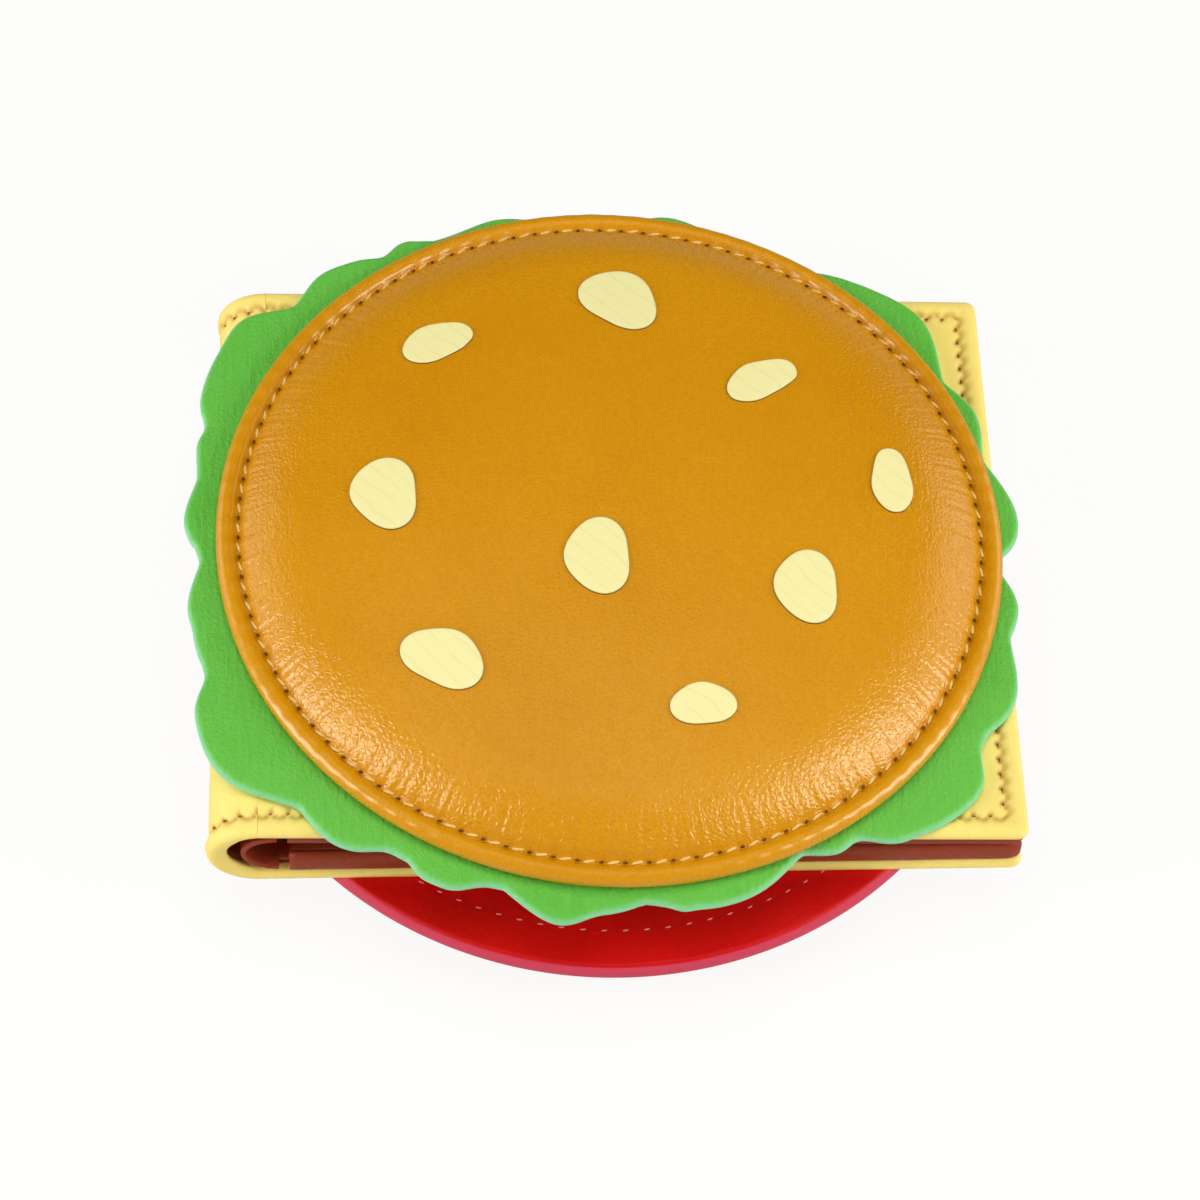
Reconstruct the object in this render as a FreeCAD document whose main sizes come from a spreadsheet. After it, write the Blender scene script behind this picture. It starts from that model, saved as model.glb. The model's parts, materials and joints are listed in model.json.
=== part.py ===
import FreeCAD, Part
import math
import os

import Sketcher

# A bifold wallet made up as a hamburger, closed, lying on its lower bun.
# X runs from the spine (-X) to the open edge, Y is away from the viewer, Z is up.
# The origin is on the resting face, under the middle of the wallet. Millimetres.

document = FreeCAD.newDocument("burger_wallet")
sheet = document.addObject("Spreadsheet::Sheet", "sizes")

DRIVING_SIZES = [
    ("wallet_width", 115.0, "closed, outside of the spine to the open edge"),
    ("wallet_depth", 92.0, "near edge to far edge of the covers"),
    ("spine_height", 14.0, "outer face to outer face of the covers at the spine"),
    ("corner_radius", 2.5, "corners of the covers at the open edge"),
    ("cover_sheet", 1.4, "yellow cover with its edge turned in"),
    ("hem_width", 8.0, "width of the turned edge"),
    ("board_sheet", 0.6, "stiffener board inside the turned edge"),
    ("lining_sheet", 0.7, "brown lining"),
    ("lining_inset", 0.4, "brown pieces stand in from the cover's edge"),
    ("binding_sheet", 1.4, "rolled binding along the near edge of the brown sheets"),
    ("binding_round", 1.0, "rounding of the binding"),
    ("note_gap", 0.3, "empty note pocket"),
    ("note_wall_sheet", 0.8, "inner wall of the note pocket"),
    ("note_mouth", 6.0, "note wall stands below the far edge of the cover"),
    ("loop_shift", 2.6, "loop of the note wall stands in from the spine"),
    ("pocket_sheet", 0.6, "each card pocket"),
    ("pocket_start", 9.5, "card pockets begin this far in from the crease axis"),
    ("first_mouth", 66.0, "mouth of the rear card pocket above the near edge"),
    ("mouth_step", 9.5, "each card pocket is this much lower than the one behind"),
    ("slip_mouth", 60.0, "mouth of the slip pocket above the near edge"),
    ("notch_radius", 10.0, "thumb notch in the slip pocket's mouth"),
    ("fold_clearance", 0.5, "between the halves at the open edge"),
    ("crease_step", 0.5, "spine stands below the faces of the covers"),
    ("crease_gap", 0.6, "groove between spine and cover"),
    ("crease_drop", 2.0, "depth of each crease axis below the cover's outer face"),
    ("crease_clearance", 0.3, "spine to lettuce and tomato with the wallet open"),
    ("bun_top_radius", 57.0, "widest outline of the upper bun"),
    ("bun_top_height", 11.0, "crown of the upper bun above the lettuce"),
    ("bun_bottom_radius", 55.5, "widest outline of the lower bun"),
    ("bun_bottom_height", 7.5, "lower bun, tomato to resting face"),
    ("bun_skin", 1.2, "bun leather"),
    ("bun_card", 0.8, "card disc under the foam"),
    ("rim_height", 3.0, "rolled rim outside the seam"),
    ("rim_width", 3.2, "edge of the rim to the seam"),
    ("seam_depth", 0.6, "seam below the top of the rim"),
    ("shoulder_run", 11.0, "seam to the end of the bun's steep shoulder"),
    ("crown_rise", 3.2, "rise of the crown inside the shoulder"),
    ("foam_clearance", 0.1, "foam to skin"),
    ("bun_top_across", 1.4, "upper bun is this far beyond the covers' middle"),
    ("seed_sheet", 0.3, "seeds pressed onto the bun"),
    ("lettuce_sheet", 2.0, "lettuce leaf"),
    ("lettuce_radius", 61.0, "mean reach of the leaf's edge"),
    ("ruffle_scale", 1.0, "height of the ruffles against those listed"),
    ("tomato_radius", 58.5, "tomato slice"),
    ("tomato_sheet", 3.8, "thickness of the tomato slice"),
    ("tomato_edge", 1.2, "rounding of the tomato's edge"),
    ("tomato_across", -2.4, "tomato and lower bun are this far from the covers' middle"),
]

for row, (name, size, meaning) in enumerate(DRIVING_SIZES, start=1):
    sheet.set(f"A{row}", name)
    sheet.set(f"B{row}", str(size))
    sheet.setAlias(f"B{row}", name)
    sheet.set(f"C{row}", meaning)

# Places that follow from the driving sizes. Levels are measured up or down from a crease axis,
# and lengths along a half are measured from that axis too.
places = document.addObject("Spreadsheet::Sheet", "places")

CARD_POCKETS = 4
SLIP_POCKETS = 1

FOLLOWING_PLACES = [
    ("spine_radius", "sizes.spine_height / 2 - sizes.crease_step"),
    ("spine_x", "-sizes.wallet_width / 2 + spine_radius"),
    ("crease_x", "-sizes.wallet_width / 2 + sizes.crease_drop - sizes.crease_clearance"),
    ("back_face_z", "sizes.bun_bottom_height + sizes.tomato_sheet"),
    ("back_crease_z", "back_face_z + sizes.crease_drop"),
    ("front_crease_z", "back_face_z + sizes.spine_height - sizes.crease_drop"),
    ("cover_start", "spine_x + sizes.crease_gap - crease_x"),
    ("cover_end", "sizes.wallet_width / 2 - crease_x"),
    ("loop_x", "spine_x + sizes.loop_shift"),
    ("wall_start", "loop_x + sizes.crease_gap - crease_x"),
    ("lining_level", "sizes.cover_sheet - sizes.crease_drop"),
    ("wall_level", "lining_level + sizes.lining_sheet + sizes.note_gap"),
    ("pocket_level", "wall_level + sizes.note_wall_sheet"),
    ("back_stack", f"sizes.crease_drop + pocket_level + {CARD_POCKETS} * sizes.pocket_sheet"),
    ("front_stack", f"sizes.crease_drop + pocket_level + {SLIP_POCKETS} * sizes.pocket_sheet"),
    ("open_thickness", "back_stack + front_stack + sizes.fold_clearance"),
    ("tilt", "asin((sizes.spine_height - open_thickness) / cover_end)"),
    ("half_depth", "sizes.wallet_depth / 2"),
    ("loop_radius", "sizes.spine_height / 2 - sizes.crease_drop - wall_level"),
]

for row, (name, formula) in enumerate(FOLLOWING_PLACES, start=1):
    places.set(f"A{row}", name)
    places.set(f"B{row}", "=" + formula)
    places.setAlias(f"B{row}", name)

document.recompute()


def number(formula):
    """The value of an expression on the two sheets."""
    found = places.evalExpression(str(formula))
    return float(getattr(found, "Value", found))


def new_body(label):
    body = document.addObject("PartDesign::Body", label)
    body.Label = label
    return body


def sketch_on(body, role, name):
    sketch = body.newObject("Sketcher::SketchObject", name)
    plane = [item for item in body.Origin.OriginFeatures if item.Role == role][0]
    sketch.AttachmentSupport = [(plane, "")]
    sketch.MapMode = "FlatFace"
    return sketch


def bind(sketch, constraint, formula):
    index = sketch.addConstraint(constraint)
    if not isinstance(formula, (int, float)):
        sketch.setExpression(f"Constraints[{index}]", formula)


def arc_between(start, end, radius, side):
    """The shorter arc from start to end; side +1 puts its centre on the left of the chord."""
    chord = end - start
    half = chord.Length / 2
    left = FreeCAD.Vector(-chord.y, chord.x, 0).normalize()
    reach = math.sqrt(max(radius * radius - half * half, 0.0))
    centre = start + chord * 0.5 + left * (side * reach)
    middle = centre + (start + chord * 0.5 - centre).normalize() * radius
    return Part.Arc(start, middle, end)


def draw_outline(sketch, corners):
    """A closed outline. Each corner is (x, y) or (x, y, radius, side), the last two for an arc to the next."""
    points = [FreeCAD.Vector(number(c[0]), number(c[1]), 0) for c in corners]
    count = len(corners)
    for index, corner in enumerate(corners):
        start = points[index]
        end = points[(index + 1) % count]
        if len(corner) == 2:
            sketch.addGeometry(Part.LineSegment(start, end))
        else:
            sketch.addGeometry(arc_between(start, end, number(corner[2]), corner[3]))
    # An arc is stored anticlockwise, so one with its centre on the right has its ends swapped.
    first = [2 if len(c) > 2 and c[3] < 0 else 1 for c in corners]
    for index in range(count):
        after = (index + 1) % count
        sketch.addConstraint(
            Sketcher.Constraint("Coincident", index, 3 - first[index], after, first[after])
        )
    for index, corner in enumerate(corners):
        for kind, formula in (("DistanceX", corner[0]), ("DistanceY", corner[1])):
            bind(sketch, Sketcher.Constraint(kind, -1, 1, index, first[index], number(formula)), formula)
        if len(corner) > 2:
            bind(sketch, Sketcher.Constraint("Radius", index, number(corner[2])), corner[2])


def pad(body, sketch, length, midplane=False):
    feature = body.newObject("PartDesign::Pad", "pad")
    feature.Profile = sketch
    feature.Midplane = midplane
    feature.setExpression("Length", length)
    return feature


def revolve(body, sketch):
    feature = body.newObject("PartDesign::Revolution", "turned")
    feature.Profile = sketch
    feature.ReferenceAxis = (sketch, ["V_Axis"])
    feature.Angle = 360
    return feature


def seat_back(item, along, across, level):
    """Place an item on the back half, which lies level."""
    item.setExpression(".Placement.Base.x", f"places.crease_x + ({along})")
    item.setExpression(".Placement.Base.y", across)
    item.setExpression(".Placement.Base.z", f"places.back_crease_z + ({level})")


def seat_front(item, along, across, level):
    """Place an item on the front half, which tilts down to the open edge."""
    item.Placement = FreeCAD.Placement(FreeCAD.Vector(), FreeCAD.Rotation(FreeCAD.Vector(0, 1, 0), 1))
    item.setExpression(".Placement.Rotation.Angle", "places.tilt")
    item.setExpression(
        ".Placement.Base.x",
        f"places.crease_x + ({along}) * cos(places.tilt) + ({level}) * sin(places.tilt)",
    )
    item.setExpression(".Placement.Base.y", across)
    item.setExpression(
        ".Placement.Base.z",
        f"places.front_crease_z - ({along}) * sin(places.tilt) + ({level}) * cos(places.tilt)",
    )


def seat_sheet(body, half, level, thickness):
    """Sheets stack inwards from the cover: upwards on the back half, downwards on the front."""
    if half == "back":
        seat_back(body, "0", "0", level)
    else:
        seat_front(body, "0", "0", f"-({level}) - ({thickness})")


def square_sheet(label, half, level, thickness, left, right, near, far, radius=None):
    """A flat leather sheet, with its corners at the open edge rounded where a radius is given."""
    body = new_body(label)
    sketch = sketch_on(body, "XY_Plane", "outline")
    if radius is None:
        corners = [(left, near), (right, near), (right, far), (left, far)]
    else:
        corners = [
            (left, near),
            (f"{right} - {radius}", near, radius, 1),
            (right, f"{near} + {radius}"),
            (right, f"{far} - {radius}", radius, 1),
            (f"{right} - {radius}", far),
            (left, far),
        ]
    draw_outline(sketch, corners)
    pad(body, sketch, thickness)
    seat_sheet(body, half, level, thickness)
    return body


NEAR = "-places.half_depth"
FAR = "places.half_depth"
BINDING_NEAR = "-places.half_depth + sizes.lining_inset"
BROWN_NEAR = f"{BINDING_NEAR} + sizes.binding_sheet"
BROWN_FAR = "places.half_depth - sizes.lining_inset"
BROWN_END = "places.cover_end - sizes.lining_inset"
CORNER = "sizes.corner_radius"


def cover_half(half):
    """Cover, stiffener board, lining and note wall of one half."""
    cover_level = "-sizes.crease_drop"
    cover = square_sheet(
        f"{half}_cover", half, cover_level, "sizes.cover_sheet",
        "places.cover_start", "places.cover_end", NEAR, FAR, CORNER,
    )
    document.recompute()
    solid_volume = cover.Shape.Volume

    # The turned edge frames a shallow bed for the board, on the inner face of the cover.
    bed = sketch_on(cover, "XY_Plane", "board_bed")
    board_sides = (
        "places.cover_start + sizes.hem_width", "places.cover_end - sizes.hem_width",
        "-places.half_depth + sizes.hem_width", "places.half_depth - sizes.hem_width",
    )
    left, right, near, far = board_sides
    draw_outline(bed, [(left, near), (right, near), (right, far), (left, far)])
    if half == "back":
        bed.setExpression(".AttachmentOffset.Base.z", "sizes.cover_sheet - sizes.board_sheet")
    pocket = cover.newObject("PartDesign::Pocket", "board_bed_cut")
    pocket.Profile = bed
    pocket.Reversed = True
    pocket.setExpression("Length", "sizes.board_sheet")
    document.recompute()
    if cover.Shape.Volume > solid_volume - 1:
        raise RuntimeError(f"{half} board bed cut nothing")

    square_sheet(
        f"{half}_board", half, "places.lining_level - sizes.board_sheet", "sizes.board_sheet", *board_sides
    )
    square_sheet(
        f"{half}_lining", half, "places.lining_level", "sizes.lining_sheet",
        "places.cover_start", BROWN_END, BROWN_NEAR, BROWN_FAR, CORNER,
    )
    square_sheet(
        f"{half}_note_wall", half, "places.wall_level", "sizes.note_wall_sheet",
        "places.wall_start", BROWN_END, BROWN_NEAR, "places.half_depth - sizes.note_mouth", CORNER,
    )


cover_half("back")
cover_half("front")

# Four stepped card pockets on the back half, each lower than the one behind it.
for number_in_stack in range(CARD_POCKETS):
    square_sheet(
        f"back_card_pocket_{number_in_stack + 1}", "back",
        f"places.pocket_level + {number_in_stack} * sizes.pocket_sheet", "sizes.pocket_sheet",
        "sizes.pocket_start", BROWN_END, BROWN_NEAR,
        f"{NEAR} + sizes.first_mouth - {number_in_stack} * sizes.mouth_step", CORNER,
    )

# The slip pocket on the front half has a round thumb notch in its mouth.
slip = new_body("front_slip_pocket")
slip_outline = sketch_on(slip, "XY_Plane", "outline")
slip_middle = "(sizes.pocket_start + places.cover_end - sizes.lining_inset) / 2"
slip_far = f"{NEAR} + sizes.slip_mouth"
draw_outline(slip_outline, [
    ("sizes.pocket_start", BROWN_NEAR),
    (f"{BROWN_END} - {CORNER}", BROWN_NEAR, CORNER, 1),
    (BROWN_END, f"{BROWN_NEAR} + {CORNER}"),
    (BROWN_END, slip_far),
    (f"{slip_middle} + sizes.notch_radius", slip_far, "sizes.notch_radius", -1),
    (slip_middle, f"{slip_far} - sizes.notch_radius", "sizes.notch_radius", -1),
    (f"{slip_middle} - sizes.notch_radius", slip_far),
    ("sizes.pocket_start", slip_far),
])
pad(slip, slip_outline, "sizes.pocket_sheet")
seat_sheet(slip, "front", "places.pocket_level", "sizes.pocket_sheet")


def edge_binding(half, pockets):
    """A rolled strip that closes the near edge of the lining, note wall and pockets of one half."""
    body = new_body(f"{half}_binding")
    section = sketch_on(body, "YZ_Plane", "section")
    section.setExpression(".AttachmentOffset.Base.z", "sizes.pocket_start")
    height = f"(places.pocket_level + {pockets} * sizes.pocket_sheet - places.lining_level)"
    bend = "sizes.binding_round"
    draw_outline(section, [
        (BROWN_NEAR, 0),
        (BROWN_NEAR, height),
        (f"{BINDING_NEAR} + {bend}", height, bend, 1),
        (BINDING_NEAR, f"{height} - {bend}"),
        (BINDING_NEAR, bend, bend, 1),
        (f"{BINDING_NEAR} + {bend}", 0),
    ])
    pad(body, section, f"{BROWN_END} - sizes.pocket_start")
    seat_sheet(body, half, "places.lining_level", height)


edge_binding("back", CARD_POCKETS)
edge_binding("front", SLIP_POCKETS)


def rolled_strip(label, outer, thickness, centre_x, depth):
    """A half-round strip of leather, rolled about an axis along Y."""
    body = new_body(label)
    sketch = sketch_on(body, "XZ_Plane", "section")
    inner = f"({outer} - {thickness})"
    draw_outline(sketch, [
        (0, outer, outer, 1),
        (f"-({outer})", 0, outer, 1),
        (0, f"-({outer})"),
        (0, f"-{inner}", inner, -1),
        (f"-{inner}", 0, inner, -1),
        (0, inner),
    ])
    pad(body, sketch, depth, midplane=True)
    body.setExpression(".Placement.Base.x", centre_x)
    body.setExpression(".Placement.Base.z", "places.back_face_z + sizes.spine_height / 2")
    return body


BROWN_DEPTH = "sizes.wallet_depth - 2 * sizes.lining_inset"

rolled_strip("spine_cover", "places.spine_radius", "sizes.cover_sheet", "places.spine_x", "sizes.wallet_depth")
rolled_strip(
    "spine_lining", "places.spine_radius - sizes.cover_sheet", "sizes.lining_sheet", "places.spine_x", BROWN_DEPTH
)
rolled_strip("spine_note_wall", "places.loop_radius", "sizes.note_wall_sheet", "places.loop_x", BROWN_DEPTH)


def padded_bun(name, radius, height, crown):
    """Skin, foam and card disc of a bun that stands on its own base plane, crown upwards."""
    seam_r = f"({radius} - sizes.rim_width)"
    seam_z = "(sizes.rim_height - sizes.seam_depth)"
    edge_r = f"({radius} - sizes.rim_height / 2)"
    crown_r = f"({seam_r} - sizes.shoulder_run)"
    run = "sizes.shoulder_run"

    def shoulder_radius(width, rise, across):
        """Radius of the shoulder's arc, which leaves the crown without a corner."""
        slope = f"2 * atan({crown} / {across})"
        return f"sqrt(({width})^2 + ({rise})^2) / (2 * sin(atan(({rise}) / ({width})) - {slope}))"

    def crown_radius(across):
        return f"(({across})^2 + ({crown})^2) / (2 * {crown})"

    def crown_arc(side):
        return () if crown == "0" else (crown_radius(crown_r), side)

    inside = "sizes.bun_skin"
    rise = f"{height} - {crown} - {seam_z}"
    inner_rise = f"{rise} - {inside}"
    inner_run = f"{run} - {inside}"
    skin = new_body(f"{name}_skin")
    skin_outline = sketch_on(skin, "XZ_Plane", "section")
    draw_outline(skin_outline, [
        (f"{seam_r} - {inside}", 0),
        (edge_r, 0, "sizes.rim_height / 2", 1),
        (radius, "sizes.rim_height / 2", "sizes.rim_height / 2", 1),
        (edge_r, "sizes.rim_height"),
        (seam_r, seam_z, shoulder_radius(run, rise, crown_r), 1),
        (crown_r, f"{height} - {crown}", *crown_arc(1)),
        (0, height),
        (0, f"{height} - {inside}", *crown_arc(-1)),
        (crown_r, f"{height} - {crown} - {inside}", shoulder_radius(inner_run, inner_rise, crown_r), -1),
        (f"{seam_r} - {inside}", seam_z),
    ])
    revolve(skin, skin_outline)

    gap = "sizes.foam_clearance"
    foam_run = f"{inner_run} - {gap}"
    foam = new_body(f"{name}_foam")
    foam_outline = sketch_on(foam, "XZ_Plane", "section")
    draw_outline(foam_outline, [
        (0, "sizes.bun_card"),
        (f"{seam_r} - {inside} - {gap}", "sizes.bun_card"),
        (f"{seam_r} - {inside} - {gap}", f"{seam_z} - {gap}", shoulder_radius(foam_run, inner_rise, crown_r), 1),
        (crown_r, f"{height} - {crown} - {inside} - {gap}", *crown_arc(1)),
        (0, f"{height} - {inside} - {gap}"),
    ])
    revolve(foam, foam_outline)

    card = new_body(f"{name}_backing")
    card_outline = sketch_on(card, "XZ_Plane", "section")
    card_r = f"{seam_r} - {inside} - {gap}"
    draw_outline(card_outline, [(0, 0), (card_r, 0), (card_r, "sizes.bun_card"), (0, "sizes.bun_card")])
    revolve(card, card_outline)
    return [skin, foam, card]


BUN_ALONG = "-places.crease_x"
BUN_TOP_LEVEL = "sizes.crease_drop + sizes.lettuce_sheet"
top_bun = padded_bun("bun_top", "sizes.bun_top_radius", "sizes.bun_top_height", "sizes.crown_rise")
for piece in top_bun:
    seat_front(piece, BUN_ALONG, "sizes.bun_top_across", BUN_TOP_LEVEL)

bottom_bun = padded_bun("bun_bottom", "sizes.bun_bottom_radius", "sizes.bun_bottom_height", "0")
for piece in bottom_bun:
    piece.Placement = FreeCAD.Placement(
        FreeCAD.Vector(), FreeCAD.Rotation(FreeCAD.Vector(1, 0, 0), 180)
    )
    seat_back(piece, BUN_ALONG, "sizes.tomato_across", "-sizes.crease_drop - sizes.tomato_sheet")

# The tomato slice is a disc with a rounded edge.
tomato = new_body("tomato_slice")
tomato_outline = sketch_on(tomato, "XZ_Plane", "section")
EDGE = "sizes.tomato_edge"
draw_outline(tomato_outline, [
    (0, 0),
    (f"sizes.tomato_radius - {EDGE}", 0, EDGE, 1),
    ("sizes.tomato_radius", EDGE),
    ("sizes.tomato_radius", f"sizes.tomato_sheet - {EDGE}", EDGE, 1),
    (f"sizes.tomato_radius - {EDGE}", "sizes.tomato_sheet"),
    (0, "sizes.tomato_sheet"),
])
revolve(tomato, tomato_outline)
seat_back(tomato, BUN_ALONG, "sizes.tomato_across", "-sizes.crease_drop - sizes.tomato_sheet")

# Crests and hollows round the lettuce leaf: the angle from +X towards +Y in degrees,
# and how far the edge stands out from the leaf's mean reach.
RUFFLES = [
    (0, -3.1), (7, -0.5), (17, -2.6), (24, -0.3), (30, -1.6), (40, 2.9), (51, 0.2), (60, -1.4), (68, -2.2),
    (77, -1.0), (84, -1.9), (91, -0.9), (98, -1.7), (106, -0.7), (114, -0.9), (120, -0.4), (131, 2.4),
    (138, 1.4), (147, 5.2), (157, 3.4), (164, 0.9), (171, 0.2), (176, 0.8), (182, -1.6), (189, 0.4),
    (195, 0.9), (202, 1.5), (207, 4.6), (214, 5.8), (223, 0.8), (229, 1.4), (240, -2.2), (246, -1.0),
    (253, -3.5), (261, -0.4), (272, -4.0), (281, -2.3), (289, -3.0), (297, -5.5), (303, -3.3), (309, 0.1),
    (316, 2.5), (322, 3.5), (329, 0.4), (336, 1.4), (346, -1.8), (350, -1.2), (356, -3.5),
]


def flat_leaf(points):
    """A flat face inside one closed smooth curve through the points."""
    curve = Part.BSplineCurve()
    curve.interpolate(Points=points, PeriodicFlag=True)
    return Part.Face(Part.Wire(curve.toShape()))


def polar(angle, radius):
    turn = math.radians(angle)
    return FreeCAD.Vector(radius * math.cos(turn), radius * math.sin(turn), 0)


leaf_reach = number("sizes.lettuce_radius")
ruffle = number("sizes.ruffle_scale")
leaf_points = [polar(angle, leaf_reach + ruffle * out) for angle, out in RUFFLES]
lettuce = document.addObject("Part::Feature", "lettuce_leaf")
lettuce.Label = "lettuce_leaf"
lettuce.Shape = flat_leaf(leaf_points).extrude(FreeCAD.Vector(0, 0, number("sizes.lettuce_sheet")))
seat_front(lettuce, BUN_ALONG, "0", "sizes.crease_drop")

# Nine seeds on the bun, each an oval drawn out into three soft corners: place along and across
# from the bun's middle, length, width, the way its length points, how far its corners stand out
# against the oval, and the way one corner points.
SEEDS = [
    (1.9, 36.4, 12.7, 10.3, -44, 0.074, 59),
    (-25.3, 28.4, 11.1, 6.7, 25, 0.046, 10),
    (22.0, 21.8, 12.1, 6.3, 32, 0.055, 14),
    (-32.9, 1.7, 12.3, 9.4, -79, 0.070, 58),
    (40.4, 5.0, 11.4, 6.1, 90, 0.052, -34),
    (-2.9, -9.6, 12.6, 9.3, -88, 0.065, 64),
    (26.7, -13.6, 11.9, 9.2, 89, 0.063, 61),
    (-24.8, -25.2, 12.5, 8.5, -28, 0.065, 57),
    (11.1, -32.5, 9.6, 6.3, 6, 0.052, -24),
]
SEED_POINTS = 18


def seed_face(along, across, length, width, turn, corner, corner_turn):
    points = []
    for step in range(SEED_POINTS):
        way = 360 * step / SEED_POINTS
        off_length = math.radians(way - turn)
        oval = length * width / (2 * math.hypot(width * math.cos(off_length), length * math.sin(off_length)))
        points.append(polar(way, oval * (1 + corner * math.cos(3 * math.radians(way - corner_turn)))))
    face = flat_leaf(points)
    face.translate(FreeCAD.Vector(along, across, 0))
    return face


# Each seed is a layer of even height cut from the crown of the bun.
document.recompute()
seed_sheet = number("sizes.seed_sheet")
crown_height = number("sizes.bun_top_height")
skin_shape = top_bun[0].Shape.copy()
skin_shape.Placement = FreeCAD.Placement()
raised_skin = skin_shape.copy()
raised_skin.translate(FreeCAD.Vector(0, 0, seed_sheet))
seed_solids = []
for seed in SEEDS:
    column = seed_face(*seed).extrude(FreeCAD.Vector(0, 0, 2 * crown_height))
    seed_solids.extend(column.common(raised_skin).cut(skin_shape).Solids)
seeds = document.addObject("Part::Feature", "sesame_seeds")
seeds.Label = "sesame_seeds"
seeds.Shape = Part.makeCompound(seed_solids)
seat_front(seeds, BUN_ALONG, "sizes.bun_top_across", BUN_TOP_LEVEL)

document.recompute()
pieces = [item for item in document.Objects if item.isDerivedFrom("PartDesign::Body")]
pieces += [lettuce, seeds]
for item in document.Objects:
    if "Invalid" in item.State or "Error" in item.State:
        raise RuntimeError(f"{item.Label} did not build: {item.State}")
os.makedirs("parts", exist_ok=True)
for piece in pieces:
    shape = piece.Shape
    if shape.isNull() or not shape.isValid() or not shape.Solids:
        raise RuntimeError(f"{piece.Label} has no valid solid")
    shape.exportStep(f"parts/{piece.Label}.step")
    print(piece.Label, len(shape.Solids), round(shape.Volume, 1))
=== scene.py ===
import json
import math

import bmesh
import bpy
import numpy as np
from mathutils import Matrix, Vector, geometry


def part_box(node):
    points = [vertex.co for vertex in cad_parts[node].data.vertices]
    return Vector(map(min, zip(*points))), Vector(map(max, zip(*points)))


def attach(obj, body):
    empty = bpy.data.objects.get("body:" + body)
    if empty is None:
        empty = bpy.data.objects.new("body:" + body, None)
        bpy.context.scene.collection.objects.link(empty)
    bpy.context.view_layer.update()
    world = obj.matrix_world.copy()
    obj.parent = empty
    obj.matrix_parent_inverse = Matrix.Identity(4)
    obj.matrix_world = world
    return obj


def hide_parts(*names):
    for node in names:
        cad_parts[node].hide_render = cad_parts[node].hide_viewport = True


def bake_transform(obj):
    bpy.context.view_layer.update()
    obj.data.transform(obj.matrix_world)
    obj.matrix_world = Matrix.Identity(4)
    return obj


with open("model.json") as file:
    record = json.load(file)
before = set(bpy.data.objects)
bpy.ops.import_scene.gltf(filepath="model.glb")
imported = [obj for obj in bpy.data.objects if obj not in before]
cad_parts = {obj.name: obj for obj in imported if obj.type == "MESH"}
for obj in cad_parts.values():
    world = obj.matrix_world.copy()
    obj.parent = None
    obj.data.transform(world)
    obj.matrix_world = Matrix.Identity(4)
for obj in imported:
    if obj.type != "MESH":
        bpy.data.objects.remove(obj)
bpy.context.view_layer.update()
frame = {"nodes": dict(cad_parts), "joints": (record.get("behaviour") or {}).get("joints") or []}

# Lower bun: plain padded leather over foam, hidden under the wallet, flat where it rests.
# The skin is drawn over a card disc and sewn through the tomato slice round a rolled rim.
# Like every place on either half, its place is (along, across, up) from that half's crease axis.
MM = 0.001
COVER_SHEET = 1.4 * MM
RIM_HEIGHT = 3.0 * MM
RIM_WIDTH = 3.2 * MM
RIM_TUCK = 4.0 * MM
RIM_START_DEGREES = 146
RIM_SWELL = 0.05 * MM
RIM_SWELL_WIDTH = 1.2 * MM
SEAM_DEPTH = 0.6 * MM
SEAM_PULL = 0.45 * MM
SEAM_WIDTH = 0.7 * MM
SHOULDER_RUN = 11.0 * MM
BUN_STITCH = 3.3 * MM
AROUND_BUN = 1200
PUCKER_REACH = 2.4 * MM
PUCKER_DEPTH = 0.14 * MM
PUCKER_WAVES = (97, 131, 167, 211, 251, 283, 317)
PUCKER_SPREAD = 2.6
CALM_RIM = 0.6 * MM
CALM_CROWN = 0.35
CALM_CROWN_END = 0.55
CALM_CROWN_FADE = 0.3
LOWER_PUCKERS = 5
creases = {joint["name"]: Vector(joint["pos_m"]) for joint in frame["joints"]}
back_axis = creases["back_crease"]
front_axis = creases["front_crease"]
cover_low, cover_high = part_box("back_cover")
tilted_low, tilted_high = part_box("front_cover")
tilt = math.asin((tilted_high.z - tilted_low.z - COVER_SHEET) / (cover_high.x - cover_low.x))


def on_back(points):
    """Points of the back half, in the shared frame."""
    return np.asarray(points, float) + np.array(back_axis)


def local_points(node, half):
    """A node's points in its own half's (along, across, up). The front half tilts at rest."""
    points = np.array([v.co for v in frame["nodes"][node].data.vertices], float)
    if half == "back_half":
        return points - np.array(back_axis)
    x, y, z = (points - np.array(front_axis)).T
    along = x * math.cos(tilt) - z * math.sin(tilt)
    up = x * math.sin(tilt) + z * math.cos(tilt)
    return np.stack([along, y, up], -1)


def local_box(node, half):
    """The lowest and highest corner of a node, in its own half's places."""
    points = local_points(node, half)
    return points.min(0), points.max(0)


class Wire:
    """A shader socket that takes part in sums."""

    def __init__(self, finish, socket):
        self.finish = finish
        self.socket = socket

    def maths(self, operation, first, second):
        return self.finish.node("ShaderNodeMath", {"operation": operation}, {0: first, 1: second})

    def __add__(self, other):
        return self.maths("ADD", self, other)

    def __rsub__(self, other):
        return self.maths("SUBTRACT", other, self)

    def __mul__(self, other):
        return self.maths("MULTIPLY", self, other)

    def __pow__(self, other):
        return self.maths("POWER", self, other)

    __radd__ = __add__
    __rmul__ = __mul__


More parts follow.
